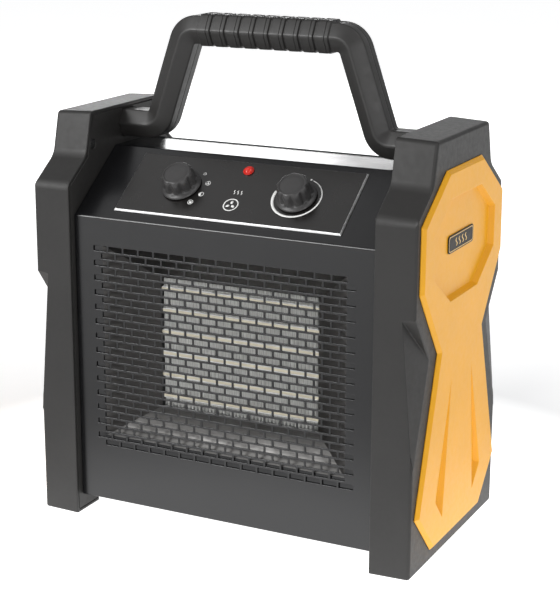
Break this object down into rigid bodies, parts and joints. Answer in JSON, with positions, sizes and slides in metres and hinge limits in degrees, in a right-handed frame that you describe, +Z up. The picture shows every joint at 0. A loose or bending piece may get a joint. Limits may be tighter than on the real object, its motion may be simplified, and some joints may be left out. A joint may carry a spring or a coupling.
{
  "type": "ceramic space heater",
  "caption": "Portable fan heater: slotted steel body between two thick end caps with inlaid side panels, sloped control panel with knobs and a lamp, and an arched carrying handle on top.",
  "frame": {"origin": "on the floor, under the middle of the heater: the bottom centre of its bounding box", "axes": "+X is the heater's right side, -Y is the front with the grille and the controls, +Z is up"},
  "size_m": [0.347, 0.192, 0.4216],
  "materials": {
    "cap_plastic": "moulded charcoal plastic with a fine grain",
    "handle_plastic": "moulded dark grey plastic with a fine grain",
    "knob_plastic": "satin black",
    "yellow_plastic": "satin warm yellow, orange in the bevels",
    "badge_plastic": "plain dark plate without lettering",
    "black_paint": "semi-gloss black paint on sheet steel",
    "galvanised_sheet": "galvanised sheet",
    "steel": "plain machined steel",
    "aluminium": "thin folded strip",
    "ceramic": "cream ceramic element bar",
    "white_nylon": "off-white moulded nylon",
    "dark_nylon": "black moulded nylon",
    "copper": null,
    "red_lens": "clear red moulded lens",
    "wire_insulation": "heat-resistant sleeving"
  },
  "bodies": {
    "housing": {"right_cap_shell": "cap_plastic", "left_cap_shell": "cap_plastic", "right_cap_cover": "cap_plastic", "left_cap_cover": "cap_plastic", "right_side_insert": "yellow_plastic", "left_side_insert": "yellow_plastic", "right_badge_plate": "badge_plastic", "left_badge_plate": "badge_plastic", "right_cap_screw_front": "steel", "left_cap_screw_front": "steel", "right_cap_screw_rear": "steel", "left_cap_screw_rear": "steel", "right_side_plate": "galvanised_sheet", "left_side_plate": "galvanised_sheet", "front_panel": "black_paint", "rear_panel": "black_paint", "base_panel": "black_paint", "control_plate": "black_paint", "selector_case": "white_nylon", "thermostat_case": "white_nylon", "pilot_lamp_lens": "red_lens", "pilot_lamp_body": "dark_nylon", "thermostat_capillary": "copper", "handle_front_half": "handle_plastic", "handle_rear_half": "handle_plastic", "ceramic_bar_1": "ceramic", "ceramic_bar_2": "ceramic", "ceramic_bar_3": "ceramic", "ceramic_bar_4": "ceramic", "ceramic_bar_5": "ceramic", "ceramic_bar_6": "ceramic", "fin_pack_1": "aluminium", "fin_pack_2": "aluminium", "fin_pack_3": "aluminium", "fin_pack_4": "aluminium", "fin_pack_5": "aluminium", "fin_pack_6": "aluminium", "fin_pack_7": "aluminium", "right_heater_block": "dark_nylon", "left_heater_block": "dark_nylon", "heater_top_rail": "galvanised_sheet", "heater_bottom_rail": "galvanised_sheet", "outlet_funnel": "galvanised_sheet", "fan_shroud": "galvanised_sheet", "motor_bracket": "galvanised_sheet", "partition_plate": "galvanised_sheet", "fan_motor": "steel", "terminal_block": "white_nylon", "cable_gland": "dark_nylon", "thermal_cutout": "steel", "wiring_loom": "wire_insulation"},
    "selector": {"selector_knob": "knob_plastic", "selector_shaft": "steel"},
    "thermostat": {"thermostat_knob": "knob_plastic", "thermostat_shaft": "steel"},
    "fan": {"fan_rotor": "dark_nylon", "motor_shaft": "steel"}
  },
  "joints": [
    {"name": "selector_turn", "type": "hinge", "parent": "housing", "child": "selector", "pos_m": [-0.052, -0.05402, 0.28578], "axis": [0, -0.5919, 0.806], "range_deg": [-90, 0]},
    {"name": "thermostat_turn", "type": "hinge", "parent": "housing", "child": "thermostat", "pos_m": [0.052, -0.05402, 0.28578], "axis": [0, -0.5919, 0.806], "range_deg": [-58, 207]},
    {"name": "fan_spin", "type": "hinge", "parent": "housing", "child": "fan", "pos_m": [0, 0, 0.15195], "axis": [0, 1, 0], "continuous": true}
  ]
}
